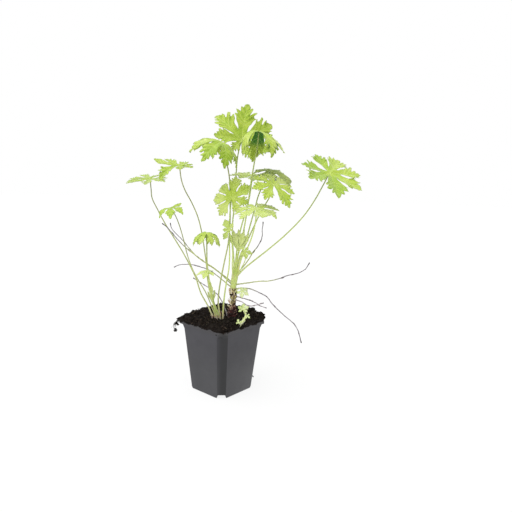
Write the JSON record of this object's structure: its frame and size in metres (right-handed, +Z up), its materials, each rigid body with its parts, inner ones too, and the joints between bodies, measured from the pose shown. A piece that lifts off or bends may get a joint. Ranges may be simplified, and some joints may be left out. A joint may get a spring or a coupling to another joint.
{
  "type": "hardy geranium in a nursery pot",
  "caption": "Young hardy geranium with lobed leaves on long stalks, dry stalks and a woody rootstock, in a square nursery pot heaped with soil.",
  "frame": {"origin": "middle of the pot's underside, on the surface that it stands on", "axes": "+Z up, X and Y square to the pot's sides; the side that the picture shows is the corner between +X and -Y"},
  "size_m": [0.2813, 0.2518, 0.415],
  "materials": {
    "pot_plastic": "satin",
    "potting_soil": "matte",
    "rootstock_bark": "matte",
    "leaf_base_green": "satin",
    "leaf_fresh_green": "satin",
    "leaf_pale_green": "satin",
    "leaf_shaded_green": "satin",
    "dry_stalk": "matte"
  },
  "bodies": {
    "root": {"pot": "pot_plastic", "soil": "potting_soil", "rootstock": "rootstock_bark", "shoot": "leaf_base_green", "frond_top_middle": "leaf_fresh_green", "frond_top_right": "leaf_fresh_green", "frond_middle_back": "leaf_pale_green", "frond_right_upper": "leaf_shaded_green", "frond_right_lower": "leaf_fresh_green", "frond_pale_front": "leaf_pale_green", "frond_far_right": "leaf_fresh_green", "frond_young_left": "leaf_pale_green", "frond_young_folded": "leaf_fresh_green", "frond_young_right": "leaf_fresh_green", "frond_hanging": "leaf_shaded_green", "frond_upper_left": "leaf_fresh_green", "frond_middle_front": "leaf_fresh_green", "frond_far_left": "leaf_pale_green", "frond_left_back": "leaf_fresh_green", "frond_left_small": "leaf_fresh_green", "frond_left_umbrella": "leaf_fresh_green", "frond_low_left": "leaf_fresh_green", "frond_seedling": "leaf_pale_green", "dry_stalk_right_rising": "dry_stalk", "dry_stalk_right_falling": "dry_stalk", "dry_stalk_upright": "dry_stalk", "dry_stalk_low_right": "dry_stalk", "dry_stalk_right_arch": "dry_stalk", "dry_stalk_left_front": "dry_stalk", "dry_stalk_left_back": "dry_stalk", "dry_stalk_left_level": "dry_stalk", "dry_stalk_left_low": "dry_stalk"}
  },
  "joints": []
}
